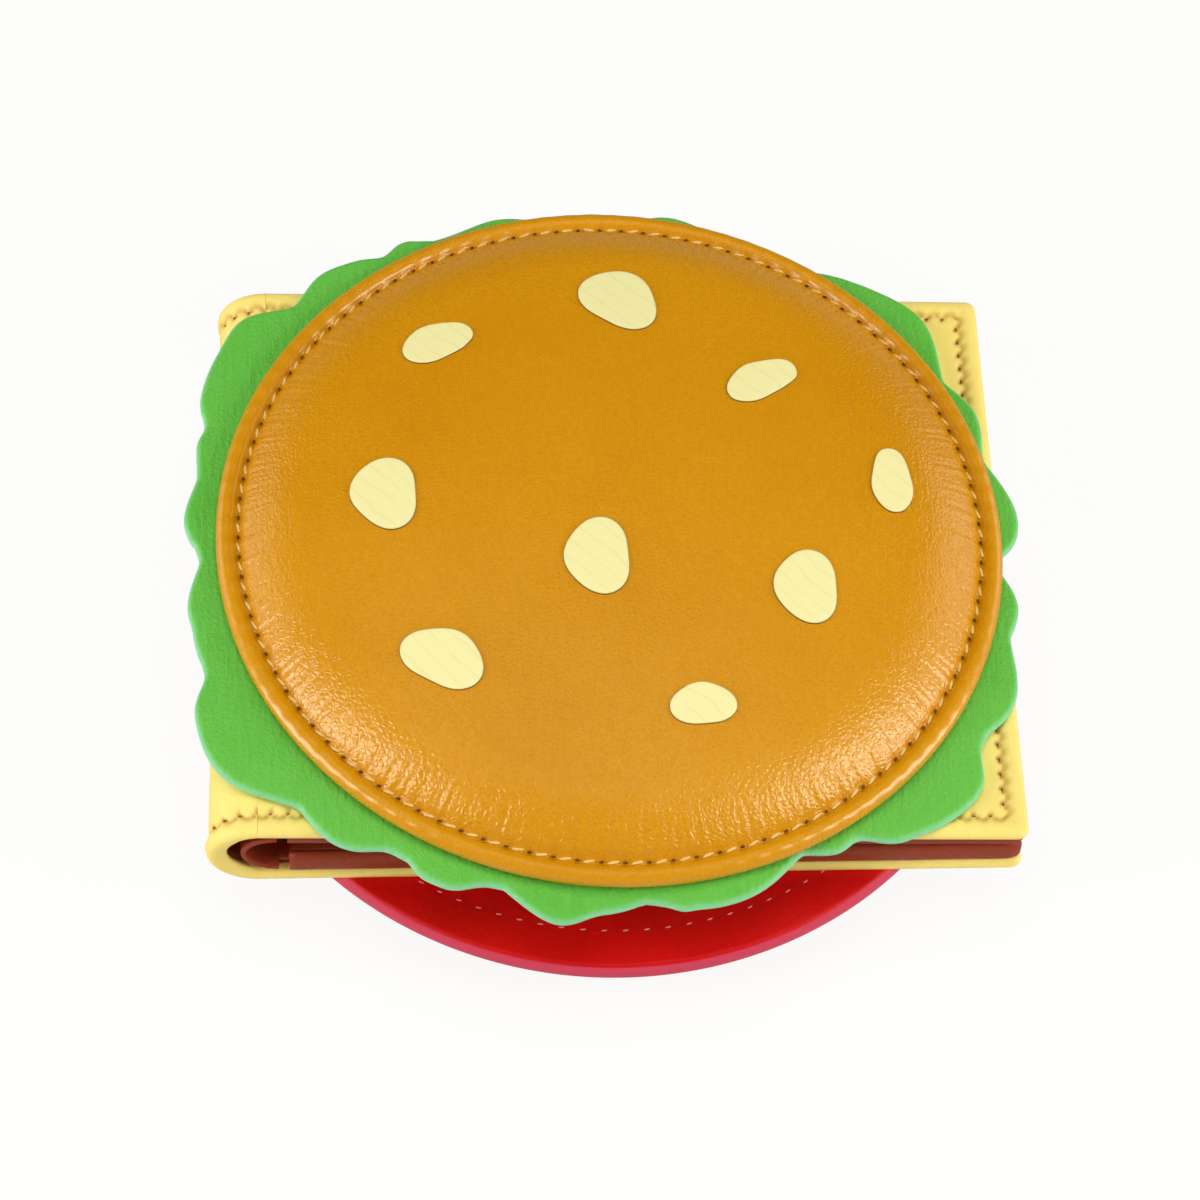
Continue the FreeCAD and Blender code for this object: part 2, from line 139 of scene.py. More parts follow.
class Finish:
    """One material: nodes are added by node(), and the shader is filled in by surface()."""

    def __init__(self, name):
        self.material = bpy.data.materials.new(name)
        self.material.use_nodes = True
        self.tree = self.material.node_tree
        self.shader = self.tree.nodes["Principled BSDF"]
        self.place = self.node("ShaderNodeTexCoord", {}, {}, "Object")

    def fill(self, socket, value):
        if isinstance(value, Wire):
            self.tree.links.new(value.socket, socket)
        elif socket.type == "RGBA":
            socket.default_value = (*value, 1.0)
        else:
            socket.default_value = value

    def node(self, kind, settings, inputs, output=0):
        made = self.tree.nodes.new(kind)
        for name, value in settings.items():
            setattr(made, name, value)
        for name, value in inputs.items():
            self.fill(made.inputs[name], value)
        return Wire(self, made.outputs[output])

    def noise(self, scale, detail, place=None, output="Fac"):
        inputs = {"Vector": place or self.place, "Scale": scale, "Detail": detail}
        return self.node("ShaderNodeTexNoise", {}, inputs, output)

    def mix(self, factor, first, second):
        inputs = {"Factor": factor, 6: first, 7: second}
        return self.node("ShaderNodeMix", {"data_type": "RGBA"}, inputs, 2)

    def attribute(self, name):
        return self.node("ShaderNodeAttribute", {"attribute_name": name}, {}, "Fac")

    def surface(self, **values):
        for name, value in values.items():
            self.fill(self.shader.inputs[name.replace("_", " ")], value)
        return self.material


def linear(red, green, blue):
    """A colour as it shows on screen, 0 to 255, as the shader's light values."""
    shares = [channel / 255 for channel in (red, green, blue)]
    return tuple(s / 12.92 if s <= 0.04045 else ((s + 0.055) / 1.055) ** 2.4 for s in shares)


PEBBLE_EDGE = 0.35
GRAIN_WANDER = 0.9
GRAIN_STRENGTH = 0.8
CALMED = 0.95
PATCHES = 28.0


def leather(
    name, deep, pale, grain_mm, grain_depth_mm, roughness, crease=0.5, pebbles=0.5,
    edge=None, calm=None, streak=0.35, shine=0.3, tint=(1.0, 1.0, 1.0),
):
    """Embossed soft leather: pebbled grain with finer creases, uneven colour and sheen.
    edge is (attribute, colour), painted where the mesh's attribute is 1. calm names an attribute that
    flattens the grain. A smaller streak makes longer creases."""
    grain = grain_mm * MM
    finish = Finish(name)
    wander = finish.noise(1 / (3 * grain), 2.0, output="Color")
    place = finish.node(
        "ShaderNodeVectorMath", {"operation": "MULTIPLY_ADD"},
        {0: wander, 1: (GRAIN_WANDER * grain,) * 3, 2: finish.place},
    )
    pebble = finish.node(
        "ShaderNodeTexVoronoi", {"feature": "DISTANCE_TO_EDGE"}, {"Vector": place, "Scale": 1 / grain}
    )
    mound = finish.node(
        "ShaderNodeMapRange", {"interpolation_type": "SMOOTHERSTEP"}, {"Value": pebble, 2: PEBBLE_EDGE}
    )
    drawn_out = {"Vector": finish.place, "Scale": (1.0, streak, 1.0)}
    creasing = finish.noise(1 / (0.8 * grain), 2.0, finish.node("ShaderNodeMapping", {}, drawn_out))
    relief = mound * pebbles + creasing * crease
    if calm:
        relief = relief * (1.0 - CALMED * finish.attribute(calm))
    normal = finish.node(
        "ShaderNodeBump", {},
        {"Strength": GRAIN_STRENGTH, "Distance": grain_depth_mm * MM, "Height": relief},
    )
    patches = finish.noise(PATCHES, 4.0)
    colour = finish.mix(patches * 0.6 + creasing * 0.4, deep, pale)
    # The edge colour is edge paint on the tomato, edge paint with a painted highlight on the lettuce, and
    # painted shade along the cheese seams.
    if edge:
        attribute, paint_shade_and_highlight_colour = edge
        colour = finish.mix(finish.attribute(attribute), colour, paint_shade_and_highlight_colour)
    gloss = mound * -0.06 + patches * 0.12 + roughness
    return finish.surface(
        Base_Color=colour, Roughness=gloss, Normal=normal, Specular_IOR_Level=shine, Specular_Tint=tint,
    )


def add_piece(name, points, faces, material, attributes=None):
    """A smooth mesh object at the origin, with named values on its points."""
    mesh = bpy.data.meshes.new(name)
    mesh.from_pydata([tuple(p) for p in points], [], faces)
    outward = bmesh.new()
    outward.from_mesh(mesh)
    bmesh.ops.recalc_face_normals(outward, faces=outward.faces)
    outward.to_mesh(mesh)
    outward.free()
    mesh.polygons.foreach_set("use_smooth", [True] * len(mesh.polygons))
    for label, values in (attributes or {}).items():
        layer = mesh.attributes.new(label, "FLOAT", "POINT")
        layer.data.foreach_set("value", np.asarray(values, np.float32).ravel())
    mesh.materials.append(material)
    piece = bpy.data.objects.new(name, mesh)
    bpy.context.scene.collection.objects.link(piece)
    return piece


def ring_faces(rings, around, caps=True):
    """Quads between rings of points, with flat caps on the first and last ring."""
    faces = []
    for ring in range(rings - 1):
        low = ring * around
        for step in range(around):
            after = (step + 1) % around
            faces.append((low + step, low + around + step, low + around + after, low + after))
    if caps:
        faces.append(tuple(range(around)))
        faces.append(tuple(reversed(range((rings - 1) * around, rings * around))))
    return faces


def spun(section, around):
    """A section (radius, height) turned about the middle: angles, and each ring's radii and heights."""
    way = np.linspace(0, 2 * math.pi, around, endpoint=False)
    return way, np.repeat(section[:, :1], around, 1), np.repeat(section[:, 1:], around, 1)


def crown_height(r, top, edge, rise):
    """The height of a bun's crown, a cap that rises to top inside its edge."""
    if rise == 0:
        return top
    cap_radius = (edge ** 2 + rise ** 2) / (2 * rise)
    return top - cap_radius + np.sqrt(cap_radius ** 2 - r * r)


def bun_section(radius, height, crown):
    """Points (radius, height) from the middle of a bun, over its shoulder and seam and round its rim."""
    seam = radius - RIM_WIDTH
    seam_z = RIM_HEIGHT - SEAM_DEPTH
    crown_edge = seam - SHOULDER_RUN
    points = []
    for share in np.linspace(0.04, 1.0, 12, endpoint=False):
        r = crown_edge * share
        points.append((r, crown_height(r, height, crown_edge, crown)))
    rise = height - crown - seam_z
    slope = 2 * math.atan2(crown, crown_edge)
    chord_turn = math.atan2(rise, SHOULDER_RUN)
    shoulder = math.hypot(rise, SHOULDER_RUN) / (2 * math.sin(chord_turn - slope))
    centre = (crown_edge - shoulder * math.sin(slope), height - crown - shoulder * math.cos(slope))
    steepest = 2 * chord_turn - slope
    for turn in slope + (steepest - slope) * np.linspace(0, 1, 28) ** 0.8:
        points.append((centre[0] + shoulder * math.sin(turn), centre[1] + shoulder * math.cos(turn)))
    rim_middle = (seam + radius) / 2
    half_width = (radius - seam) / 2
    for turn in np.radians(np.linspace(RIM_START_DEGREES, -90, 19)):
        points.append((
            rim_middle + half_width * math.cos(turn), RIM_HEIGHT / 2 * (1 + math.sin(turn))
        ))
    points.append((seam - RIM_TUCK, 0.0))
    return np.array(points), seam, seam_z


def bun_points(radius, height, crown, seed):
    """A bun's surface, with the seam drawn down at each stitch and puckers running in from it.
    Gives its points, its count of rings, the seam's radius and height, and where the grain is calm."""
    section, seam, seam_z = bun_section(radius, height, crown)
    way, r, z = spun(section, AROUND_BUN)
    stitches = round(2 * math.pi * seam / BUN_STITCH)
    draw = np.random.default_rng(seed)
    pucker = np.zeros(AROUND_BUN)
    for waves in PUCKER_WAVES:
        gather = 0.6 + 0.4 * np.cos(draw.integers(3, 9) * way + draw.uniform(0, 2 * math.pi))
        pucker += gather * np.cos(waves * way + draw.uniform(0, 2 * math.pi))
    pucker /= PUCKER_SPREAD
    pull = 0.5 - 0.5 * np.cos(stitches * way)
    inward = np.clip((seam - r) / PUCKER_REACH, 0, None)
    on_top = z > seam_z - SEAM_DEPTH
    shoulder_part = (r < seam) & on_top
    z += np.where(shoulder_part, PUCKER_DEPTH * pucker * inward * np.exp(1 - 1.6 * inward), 0)
    near_seam = np.exp(-((r - seam) / SEAM_WIDTH) ** 2) * on_top
    z -= SEAM_PULL * near_seam * (0.45 + 0.55 * pull)
    on_rim = np.exp(-((r - radius + RIM_SWELL_WIDTH) / RIM_SWELL_WIDTH) ** 2)
    z += RIM_SWELL * on_rim * np.cos(stitches * way + 0.6) * on_top
    points = np.stack([r * np.cos(way), r * np.sin(way), z], -1)
    calm_rim = np.clip((r - seam) / CALM_RIM, 0, 1)
    crown_share = 1 - np.clip((r / seam - CALM_CROWN_END) / CALM_CROWN_FADE, 0, 1)
    calm = np.maximum(calm_rim, CALM_CROWN * crown_share)
    return points.reshape(-1, 3), len(section), seam, seam_z, calm


bun_leather = leather(
    "bun_leather", linear(202, 130, 0), linear(230, 161, 0), grain_mm=0.75, grain_depth_mm=0.14,
    roughness=0.22, crease=0.8, pebbles=0.35, calm="calm", streak=0.24, shine=1.0, tint=(1.0, 0.9, 0.7),
)
skin_low, skin_high = local_box("bun_bottom_skin", "back_half")
lower_radius = (skin_high[0] - skin_low[0]) / 2
lower_height = skin_high[2] - skin_low[2]
lower_middle = (skin_low + skin_high) / 2
points, rings, lower_seam, lower_seam_z, calm = bun_points(lower_radius, lower_height, 0.0, LOWER_PUCKERS)
upside_down = np.array([1, -1, -1])
lower_points = points * upside_down + np.array([lower_middle[0], lower_middle[1], skin_high[2]])
lower_bun = add_piece(
    "lower_bun", on_back(lower_points), ring_faces(rings, AROUND_BUN), bun_leather, {"calm": calm}
)
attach(lower_bun, "back_half")
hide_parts("bun_bottom_skin")

# Foam pads and card discs inside the buns, and the boards inside the covers' turned edges.
# They are plain inner pieces, held by glue and by the seams round them.


def plain_inside(name, colour, grain_scale):
    """Dull foam or board with a fine grain."""
    finish = Finish(name)
    cells = finish.noise(grain_scale, 5.0)
    bump = finish.node("ShaderNodeBump", {}, {"Strength": 0.4, "Distance": 0.3 * MM, "Height": cells})
    shade = finish.mix(cells, tuple(0.8 * c for c in colour), colour)
    return finish.surface(Base_Color=shade, Roughness=0.9, Normal=bump)


def dress_node(node, material):
    """Gives a material to a node that shows as it is."""
    data = frame["nodes"][node].data
    data.materials.clear()
    data.materials.append(material)


foam_finish = plain_inside("foam", linear(232, 228, 214), grain_scale=1500.0)
board_finish = plain_inside("grey_board", linear(176, 164, 146), grain_scale=700.0)
for bun in ("bun_bottom", "bun_top"):
    dress_node(f"{bun}_foam", foam_finish)
    dress_node(f"{bun}_backing", board_finish)
for half in ("back", "front"):
    dress_node(f"{half}_board", board_finish)

# Tomato slice: a thick red disc of smooth leather over a filler, its rounded edge painted pale pink.
# It is sewn to the lower bun, and the seam shows as a ring of small pink stitches on its face.
TOMATO_EDGE = 1.3 * MM
TOMATO_UNDER = 3.0 * MM
TOMATO_SQUARENESS = 0.8
TOMATO_PAINT_DEGREES = 58
TOMATO_SEAM_DIP = 0.15 * MM
TOMATO_SEAM_WIDTH = 0.9 * MM
AROUND_TOMATO = 360


def squared(share, power):
    """A sine or cosine made fuller, so that the arc it draws is squarer."""
    return math.copysign(abs(share) ** power, share)


tomato_low, tomato_high = local_box("tomato_slice", "back_half")
tomato_middle = (tomato_low + tomato_high) / 2
tomato_radius = (tomato_high[0] - tomato_low[0]) / 2
tomato_half = (tomato_high[2] - tomato_low[2]) / 2
profile = []
for share in (0.3, 0.6, 0.8, 0.9, 0.95):
    profile.append(((tomato_radius - 2 * TOMATO_EDGE) * share, tomato_half, 0.0))
for turn in np.radians(np.linspace(90, -90, 25)):
    bulge = squared(math.sin(turn), TOMATO_SQUARENESS)
    edge = TOMATO_EDGE if turn > 0 else TOMATO_UNDER
    inset = edge * (1 - math.cos(turn) ** TOMATO_SQUARENESS)
    painted = 1.0 if turn < math.radians(TOMATO_PAINT_DEGREES) else 0.0
    profile.append((tomato_radius - inset, tomato_half * bulge, painted))
for share in (0.95, 0.8, 0.5):
    profile.append(((tomato_radius - TOMATO_UNDER) * share, -tomato_half, 0.0))
profile = np.array(profile)
way, r, z = spun(profile[:, :2], AROUND_TOMATO)
seam_dip = np.exp(-((r - lower_seam) / TOMATO_SEAM_WIDTH) ** 2) * (z > 0)
z -= TOMATO_SEAM_DIP * seam_dip
tomato_points = np.stack([r * np.cos(way), r * np.sin(way), z], -1).reshape(-1, 3) + tomato_middle
tomato_finish = leather(
    "tomato_leather", linear(196, 0, 2), linear(224, 0, 6), grain_mm=1.6, grain_depth_mm=0.05,
    roughness=0.36, crease=0.6, edge=("edge_paint_and_highlight", linear(214, 62, 88)),
)
tomato = add_piece(
    "tomato", on_back(tomato_points), ring_faces(len(profile), AROUND_TOMATO), tomato_finish,
    {"edge_paint_and_highlight": np.repeat(profile[:, 2], AROUND_TOMATO)},
)
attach(tomato, "back_half")
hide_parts("tomato_slice")

# Sewing thread: every visible seam is one row of lock stitches, each drawn down into a needle hole.
# A row follows its seam's line and has as many stitches as its length takes at the seam's pitch.
# Every second place along it is a stitch, and the places between are needle holes, dark marks of painted
# shade.
HOLE_WIDTH = 0.75
TOMATO_PITCH = 3.0 * MM
TOMATO_STITCH_SUNK = 0.12 * MM
LOWER_STITCH_SUNK = 0.2 * MM
thread_tree = bpy.data.node_groups.new("stitch_row", "GeometryNodeTree")
thread_inputs = {}
for label, kind in (
    ("Seam", "Geometry"), ("Places", "Int"), ("Length", "Float"), ("Thickness", "Float"),
    ("Gap", "Float"), ("Slant", "Float"), ("Thread", "Material"), ("Hole_shade", "Material"),
):
    thread_inputs[label] = thread_tree.interface.new_socket(
        label, in_out="INPUT", socket_type=f"NodeSocket{kind}"
    )
thread_tree.interface.new_socket("Stitching", in_out="OUTPUT", socket_type="NodeSocketGeometry")


def thread_node(kind, settings=None, inputs=None):
    """Adds a node to the stitch row and gives its first output."""
    made = thread_tree.nodes.new(kind)
    for name, value in (settings or {}).items():
        setattr(made, name, value)
    for name, value in (inputs or {}).items():
        if isinstance(value, bpy.types.NodeSocket):
            thread_tree.links.new(value, made.inputs[name])
        else:
            made.inputs[name].default_value = value
    return made.outputs[0]


given = thread_tree.nodes.new("NodeGroupInput").outputs
line = thread_node("GeometryNodeMeshToCurve", {}, {"Mesh": given["Seam"]})
spaced = thread_node(
    "GeometryNodeResampleCurve", {"mode": "COUNT"}, {"Curve": line, "Count": given["Places"]}
)
tangent = thread_node("GeometryNodeInputTangent")
aligned = thread_node("FunctionNodeAlignRotationToVector", {"axis": "X"}, {"Vector": tangent})
lean = thread_node("FunctionNodeAxisAngleToRotation", {}, {"Axis": (0, 0, 1), "Angle": given["Slant"]})
turned = thread_node("FunctionNodeRotateRotation", {"rotation_space": "LOCAL"}, {0: aligned, 1: lean})
index = thread_node("GeometryNodeInputIndex")
odd = thread_node("ShaderNodeMath", {"operation": "MODULO"}, {0: index, 1: 2.0})
even = thread_node("ShaderNodeMath", {"operation": "SUBTRACT"}, {0: 1.0, 1: odd})
bead = thread_node("GeometryNodeMeshUVSphere", {}, {"Segments": 8, "Rings": 6, "Radius": 0.5})
joined = thread_tree.nodes.new("GeometryNodeJoinGeometry")
for chosen, long, flat, material in (
    (even, given["Length"], 1.0, given["Thread"]), (odd, given["Gap"], HOLE_WIDTH, given["Hole_shade"])
):
    width = thread_node("ShaderNodeMath", {"operation": "MULTIPLY"}, {0: given["Thickness"], 1: flat})
    size = thread_node("ShaderNodeCombineXYZ", {}, {0: long, 1: width, 2: width})
    mark = thread_node("GeometryNodeTransform", {}, {"Geometry": bead, "Scale": size})
    row = thread_node(
        "GeometryNodeInstanceOnPoints", {},
        {"Points": spaced, "Selection": chosen, "Instance": mark, "Rotation": turned},
    )
    real = thread_node("GeometryNodeRealizeInstances", {}, {"Geometry": row})
    dressed = thread_node("GeometryNodeSetMaterial", {}, {"Geometry": real, "Material": material})
    thread_tree.links.new(dressed, joined.inputs[0])
smooth = thread_node("GeometryNodeSetShadeSmooth", {}, {"Geometry": joined.outputs[0]})
thread_tree.links.new(smooth, thread_tree.nodes.new("NodeGroupOutput").inputs[0])


def thread_finish(name, deep, pale):
    """Twisted thread, or the dark of a needle hole."""
    # A needle hole's finish is painted shade, a dark mark for the shade inside the hole.
    finish = Finish(name)
    twist = finish.noise(2600.0, 2.0)
    bump = finish.node("ShaderNodeBump", {}, {"Strength": 0.7, "Distance": 0.1 * MM, "Height": twist})
    return finish.surface(Base_Color=finish.mix(twist, deep, pale), Roughness=0.55, Normal=bump)


def sew(name, line_points, closed, pitch, thickness, thread, hole, slant_degrees=0.0, cover=0.6, gap=0.2):
    """A row of stitches along a line of points, as a plain mesh piece.
    cover and gap are the shares of the pitch that a stitch and a needle hole take up."""
    mesh = bpy.data.meshes.new(name)
    count = len(line_points)
    edges = [(index, index + 1) for index in range(count - 1)]
    if closed:
        edges.append((count - 1, 0))
    mesh.from_pydata([tuple(p) for p in line_points], edges, [])
    length = np.linalg.norm(np.diff(line_points, axis=0), axis=1).sum()
    stitches = round(length / pitch)
    places = 2 * stitches if closed else 2 * stitches + 1
    guide = bpy.data.objects.new(name, mesh)
    bpy.context.scene.collection.objects.link(guide)
    maker = guide.modifiers.new("stitch_row", "NODES")
    maker.node_group = thread_tree
    values = {
        "Places": places, "Length": pitch * cover, "Thickness": thickness, "Gap": pitch * gap,
        "Slant": math.radians(slant_degrees), "Thread": thread, "Hole_shade": hole,
    }
    for label, value in values.items():
        maker[thread_inputs[label].identifier] = value
    ready = guide.evaluated_get(bpy.context.evaluated_depsgraph_get())
    sewn = bpy.data.meshes.new_from_object(ready)
    guide.modifiers.remove(maker)
    guide.data = sewn
    sewn.name = name
    return guide


def circle_line(middle, radius, height, count=480):
    """A level ring of points round a middle."""
    way = np.linspace(0, 2 * math.pi, count, endpoint=False)
    x = radius * np.cos(way) + middle[0]
    y = radius * np.sin(way) + middle[1]
    return np.stack([x, y, np.full(count, height)], -1)


# The needle holes are painted shade: dark marks between the stitches where the holes' shade falls.
needle_hole_shade = thread_finish("needle_hole_shade", linear(84, 44, 4), linear(116, 68, 10))
red_hole_shade = thread_finish("red_needle_hole_shade", linear(70, 0, 2), linear(96, 4, 8))
pink_thread = thread_finish("pink_thread", linear(226, 112, 124), linear(250, 178, 186))
bun_thread = thread_finish("bun_thread", linear(226, 172, 64), linear(255, 232, 150))
tomato_line = circle_line(tomato_middle, lower_seam, tomato_high[2] - TOMATO_STITCH_SUNK)
tomato_seam = sew(
    "tomato_seam", on_back(tomato_line), True, TOMATO_PITCH, 0.28 * MM, pink_thread, red_hole_shade,
    slant_degrees=8.0, cover=0.34,
)
lower_line = circle_line(lower_middle, lower_seam, skin_high[2] - lower_seam_z + LOWER_STITCH_SUNK)
lower_bun_seam = sew(
    "lower_bun_seam", on_back(lower_line), True, BUN_STITCH, 0.42 * MM, bun_thread, needle_hole_shade,
    slant_degrees=8.0, cover=0.56, gap=0.22,
)
for piece in (tomato_seam, lower_bun_seam):
    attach(piece, "back_half")

# Covers: each is yellow leather turned in over a board and stitched along its near, open and far edges.
# The hem is slightly full, and the seam draws it down in small scallops, with shade painted darker where
# it pinches.
HEM_SEAM = 3.2 * MM
HEM_FULL = 0.4 * MM
HEM_GROOVE = 0.55 * MM
GROOVE_INNER = 0.32 * MM
GROOVE_OUTER = 0.55 * MM
SCALLOP = 1.1 * MM
HEM_INSET = HEM_SEAM + SCALLOP / 8
CHEESE_PITCH = 2.4 * MM
CHEESE_THREAD = 0.42 * MM
STITCH_SUNK = 0.3 * MM
CORNER = 1.6 * MM
EDGE_ROUND = 0.9 * MM
SHEET_STEP = 0.6 * MM
CLOSE_LINES_MM = (0, 0.04, 0.12, 0.25, 0.45, 0.7, 1.1, 1.6, 2.1, 2.5, 2.8, 3.05, 3.3, 3.6, 4.0, 4.6, 5.4)


def on_front(points):
    """Points of the front half, tilted as it rests, in the shared frame."""
    along, across, up = np.moveaxis(np.asarray(points, float), -1, 0)
    x = along * math.cos(tilt) + up * math.sin(tilt)
    z = up * math.cos(tilt) - along * math.sin(tilt)
    return np.stack([x, across, z], -1) + np.array(front_axis)


def edge_lines(low, high, step, fine_low, fine_high):
    """Grid lines from low to high, closer where an edge is rounded and sewn."""
    close = np.array(CLOSE_LINES_MM) * MM
    start = low + (close[-1] if fine_low else 0)
    stop = high - (close[-1] if fine_high else 0)
    middle = np.linspace(start, stop, max(3, round((stop - start) / step) + 1))
    parts = [middle]
    if fine_low:
        parts.insert(0, low + close[:-1])
    if fine_high:
        parts.append((high - close[:-1])[::-1])
    return np.concatenate(parts)


def soft_sheet(
    low, high, sewn_open=True, far_sewn=True, seam=HEM_SEAM, full=HEM_FULL, scallop=SCALLOP,
    groove=HEM_GROOVE, step=SHEET_STEP,
):
    """A leather sheet between two corners (along, across, up): rounded edges, full hem and a drawn seam.
    Its edge on the crease side stays square, and so does the open one where it isn't sewn.
    Gives points, faces and the painted shade on each point, darkest along the seam where it pinches."""
    along = edge_lines(low[0], high[0], step, False, sewn_open)
    across = edge_lines(low[1], high[1], step, True, True)
    s, y = np.meshgrid(along, across, indexing="ij")
    if sewn_open:
        centre = (low[1] + high[1]) / 2
        straight = (high[1] - low[1]) / 2 - CORNER
        a = np.clip((s - (high[0] - CORNER)) / CORNER, 0, 1)
        b = np.clip((np.abs(y - centre) - straight) / CORNER, 0, 1)
        reach = np.maximum(a, b)
        length = np.maximum(np.hypot(a, b), 1e-9)
        both = (a > 0) & (b > 0)
        side = np.sign(y - centre)
        s = np.where(both, high[0] - CORNER + CORNER * a * reach / length, s)
        y = np.where(both, centre + side * (straight + CORNER * b * reach / length), y)
        open_away = (1 - a) * CORNER + np.clip(high[0] - CORNER - s, 0, None)
        open_away = np.where(both, (1 - reach) * CORNER, open_away)
    else:
        open_away = np.full_like(s, 1.0)
        both = np.zeros_like(s, bool)
        reach = np.zeros_like(s)
    near_away = np.where(both, (1 - reach) * CORNER, y - low[1])
    far_away = np.where(both, (1 - reach) * CORNER, high[1] - y)
    away = np.minimum(open_away, np.minimum(near_away, far_away))
    sewn_away = np.minimum(open_away, np.minimum(near_away, far_away if far_sewn else 1.0))
    half = (high[2] - low[2]) / 2
    rounding = np.minimum(half, EDGE_ROUND)
    curl = np.clip(1 - away / rounding, 0, 1)
    thick = half - rounding * (1 - np.sqrt(np.clip(1 - curl ** 2, 0, 1)))
    run = np.where(sewn_away == open_away, y, s)
    turn = math.pi * run / CHEESE_PITCH
    line = seam + scallop * (0.5 - np.abs(np.sin(turn)))
    hem = np.clip(sewn_away / seam, 0, 1)
    thick += np.where(sewn_away < seam, full * np.sin(math.pi * hem) * (away > 0), 0)
    drawn = groove * (0.75 + 0.25 * np.cos(2 * turn))
    past_line = sewn_away - line
    wide = np.where(past_line > 0, GROOVE_INNER, GROOVE_OUTER)
    seam_line = np.exp(-(past_line / wide) ** 2) * (away > 0)
    thick -= np.minimum(drawn, 0.7 * half) * seam_line
    # Painted shade: the seam is darker yellow, most of all at each pinch.
    painted_pinch_shade = seam_line * (0.5 + 0.5 * np.cos(turn) ** 2)
    middle = (low[2] + high[2]) / 2
    rows, columns = s.shape
    upper = np.arange(rows * columns).reshape(rows, columns)
    parted = thick > 1e-9
    lower = np.where(parted, rows * columns + np.cumsum(parted).reshape(rows, columns) - 1, upper)
    top = np.stack([s, y, middle + thick], -1).reshape(-1, 3)
    bottom = np.stack([s, y, middle - thick], -1).reshape(-1, 3)[parted.ravel()]
    points = [top, bottom]
    shade = [painted_pinch_shade.ravel(), painted_pinch_shade[parted]]
    faces = []
    for corners in (
        (upper[:-1, :-1], upper[1:, :-1], upper[1:, 1:], upper[:-1, 1:]),
        (lower[:-1, :-1], lower[:-1, 1:], lower[1:, 1:], lower[1:, :-1]),
    ):
        faces += np.stack(corners, -1).reshape(-1, 4).tolist()
    count = len(top) + len(bottom)
    for end in ((0,) if sewn_open else (0, rows - 1)):
        points += [top[upper[end]], np.stack([s[end], y[end], middle - thick[end]], -1)]
        shade += [painted_pinch_shade[end], painted_pinch_shade[end]]
        for j in range(columns - 1):
            faces.append((count + j, count + j + 1, count + columns + j + 1, count + columns + j))
        count += 2 * columns
    return np.concatenate(points), faces, np.concatenate(shade)


def whole_stitches(start, stop):
    """Where a hem's row of whole stitches begins and ends between two places along its edge."""
    first = math.ceil(start / CHEESE_PITCH)
    last = math.floor(stop / CHEESE_PITCH + 0.75)
    return (np.array([first, last]) - 0.5) * CHEESE_PITCH


def hem_rows(low, high, up):
    """The seams along a cover's near, far and open edges, with a needle hole where the seam pinches."""
    rows = {}
    begin, end = whole_stitches(low[0], high[0] - HEM_INSET)
    for edge, across in (("near", low[1] + HEM_INSET), ("far", high[1] - HEM_INSET)):
        rows[edge] = np.array([(begin, across, up), (end, across, up)])
    begin, end = whole_stitches(low[1] + HEM_INSET, high[1] - HEM_INSET)
    rows["open"] = np.array([(high[0] - HEM_INSET, begin, up), (high[0] - HEM_INSET, end, up)])
    return rows


def sew_hem(name, line_points):
    """A row of the stitches that the covers and the spine share."""
    return sew(
        name, line_points, False, CHEESE_PITCH, CHEESE_THREAD, cheese_thread, cheese_hole_shade,
        slant_degrees=6.0, cover=0.45, gap=0.26,
    )


# Its seam_shade colour is painted shade, a darker yellow along the hem seams.
cheese_leather = leather(
    "cheese_leather", linear(250, 213, 97), linear(255, 238, 142), grain_mm=1.5, grain_depth_mm=0.05,
    roughness=0.40, edge=("seam_shade", linear(196, 134, 40)),
)
cheese_thread = thread_finish("cheese_thread", linear(240, 204, 104), linear(255, 244, 176))
# Its needle holes are painted shade, dark marks between the stitches.
cheese_hole_shade = thread_finish("cheese_needle_hole_shade", linear(112, 70, 10), linear(152, 102, 22))
HALVES = {"back": ("back_half", on_back, -1), "front": ("front_half", on_front, 1)}
for half, (body, place, outward) in HALVES.items():
    low, high = local_box(f"{half}_cover", body)
    points, faces, seam_shade = soft_sheet(low, high)
    cover = add_piece(f"cheese_{half}", place(points), faces, cheese_leather, {"seam_shade": seam_shade})
    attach(cover, body)
    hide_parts(f"{half}_cover")
    face_up = (high[2] if outward > 0 else low[2]) - outward * STITCH_SUNK
    for edge, line_points in hem_rows(low, high, face_up).items():
        seam_row = sew_hem(f"cheese_{half}_{edge}_seam", place(line_points))
        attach(seam_row, body)

# Brown lining, note pocket wall and card pockets: thin soft leather sheets, laid on one another
# and sewn together along the near and open edges. The mouths of the pockets face the far edge.
BROWN_SEAM = 2.2 * MM
BROWN_GROOVE = 0.04 * MM
BROWN_STEP = 2.5 * MM
CARD_POCKETS = (1, 2, 3, 4)
lining_leather = leather(
    "brown_lining", linear(134, 44, 18), linear(166, 68, 36), grain_mm=1.1, grain_depth_mm=0.07,
    roughness=0.42, crease=0.8,
)
SHEETS = {
    "back": ["back_lining", "back_note_wall"] + [f"back_card_pocket_{n}" for n in CARD_POCKETS],
    "front": ["front_lining", "front_note_wall"],
}
for half, nodes in SHEETS.items():
    body, place, _ = HALVES[half]
    for node in nodes:
        low, high = local_box(node, body)
        points, faces, _ = soft_sheet(
            low, high, far_sewn=False, seam=BROWN_SEAM, full=0.0, scallop=0.0,
            groove=BROWN_GROOVE, step=BROWN_STEP,
        )
        piece = add_piece(f"{node}_leather", place(points), faces, lining_leather)
        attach(piece, body)
        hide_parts(node)
dress_node("front_slip_pocket", lining_leather)

